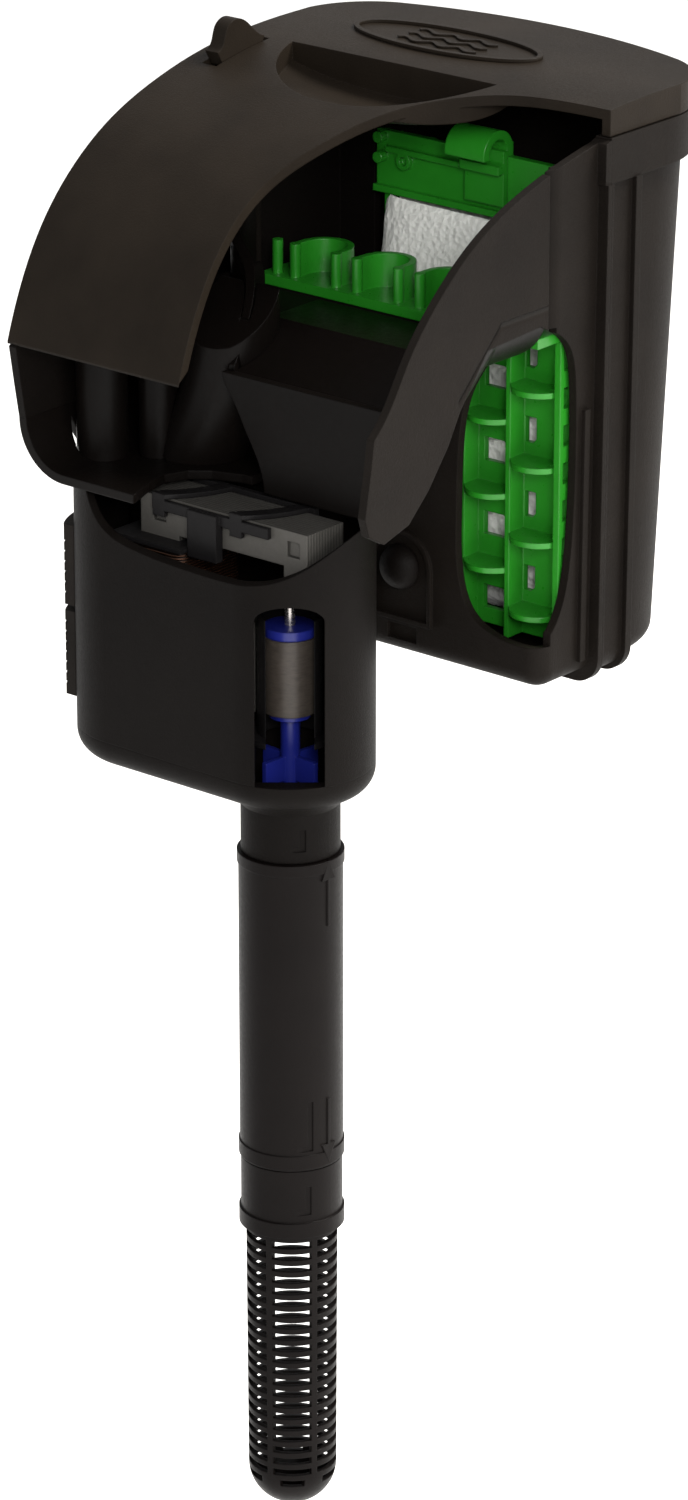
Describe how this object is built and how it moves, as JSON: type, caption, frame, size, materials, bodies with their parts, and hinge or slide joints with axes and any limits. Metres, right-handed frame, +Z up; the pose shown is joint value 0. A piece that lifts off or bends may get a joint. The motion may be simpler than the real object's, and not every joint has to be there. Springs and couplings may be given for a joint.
{
  "type": "hang on back filter",
  "caption": "Hang-on-back aquarium power filter in black plastic: hooded filter box, spout over the tank rim, motor housing with a turning impeller and a slotted intake tube, shown cut open.",
  "frame": {"origin": "centre of the underside of the bridge, the face that rests on the tank rim", "axes": "+Z up, +Y away from the tank toward the filter box, +X along the tank wall to the right seen from inside the tank"},
  "size_m": [0.1188, 0.1378, 0.3596],
  "materials": {
    "body_black": "fine-grained satin",
    "lid_black": "fine-grained satin",
    "tube_black": "smooth satin",
    "bright_green": "semi-gloss",
    "floss": "matt crinkled floss",
    "carbon": "matt granules",
    "rotor_blue": "semi-gloss",
    "magnet_grey": "ground",
    "pin_steel": "polished",
    "stator_steel": "matt laminated",
    "copper": "enamelled wire",
    "bobbin_black": "satin",
    "grip_grey": "ribbed matt",
    "seal_black": "matt"
  },
  "bodies": {
    "filter_body": {"box_front_shell": "body_black", "box_rear_shell": "body_black", "spout_deck": "body_black", "bridge_plate": "body_black", "right_cheek": "body_black", "left_cheek": "body_black", "spout_tray": "body_black", "back_wall": "body_black", "riser_column_outer": "body_black", "riser_column_inner": "body_black", "riser_elbow": "body_black", "side_duct": "body_black", "divider_wall": "body_black", "spout_apron": "body_black", "channel_wall": "body_black", "motor_housing": "body_black", "housing_base": "body_black", "housing_seal": "seal_black", "rotor_well": "bobbin_black", "upper_bush": "bobbin_black", "lower_bush": "body_black", "rotor_pin": "pin_steel", "stator_core": "stator_steel", "core_rivets": "stator_steel", "coil_bobbin": "bobbin_black", "coil_winding": "copper", "bobbin_bracket": "bobbin_black", "grip_pad_lower": "grip_grey", "grip_pad_upper": "grip_grey", "riser_pipe": "body_black", "pump_gallery": "body_black", "cord_gland": "body_black"},
    "lid": {"lid": "lid_black", "lid_emblem": "lid_black"},
    "flow_lever": {"flow_lever": "lid_black"},
    "cartridge": {"cartridge_frame": "bright_green", "cartridge_grip": "bright_green", "filter_bag": "floss", "carbon_fill": "carbon"},
    "bio_grid": {"bio_comb": "bright_green", "bio_grid_panel": "bright_green"},
    "rotor": {"rotor_magnet": "magnet_grey", "rotor_cap": "rotor_blue", "impeller": "rotor_blue"},
    "intake_tube": {"extension_tube": "tube_black"},
    "strainer": {"tube_coupler": "tube_black", "strainer": "tube_black"},
    "level_screw": {"level_screw": "body_black"}
  },
  "joints": [
    {"name": "lid_lift", "type": "slide", "parent": "filter_body", "child": "lid", "axis": [0, 0, 1], "range_m": [0, 0.08]},
    {"name": "flow_lever_turn", "type": "hinge", "parent": "lid", "child": "flow_lever", "pos_m": [-0.0488, 0.019, 0.052], "axis": [1, 0, 0], "range_deg": [-12, 12]},
    {"name": "cartridge_lift", "type": "slide", "parent": "filter_body", "child": "cartridge", "axis": [0, 0, 1], "range_m": [0, 0.007]},
    {"name": "bio_grid_lift", "type": "slide", "parent": "filter_body", "child": "bio_grid", "axis": [0, 0, 1], "range_m": [0, 0.025]},
    {"name": "rotor_spin", "type": "hinge", "parent": "filter_body", "child": "rotor", "pos_m": [0.009, -0.029, -0.085], "axis": [0, 0, 1], "continuous": true},
    {"name": "tube_twist", "type": "hinge", "parent": "filter_body", "child": "intake_tube", "pos_m": [0.009, -0.029, -0.116], "axis": [0, 0, 1], "range_deg": [0, 30]},
    {"name": "strainer_pull", "type": "slide", "parent": "intake_tube", "child": "strainer", "axis": [0, 0, -1], "range_m": [0, 0.03]},
    {"name": "level_screw_travel", "type": "slide", "parent": "filter_body", "child": "level_screw", "axis": [0, -1, 0], "range_m": [0, 0.004]}
  ]
}
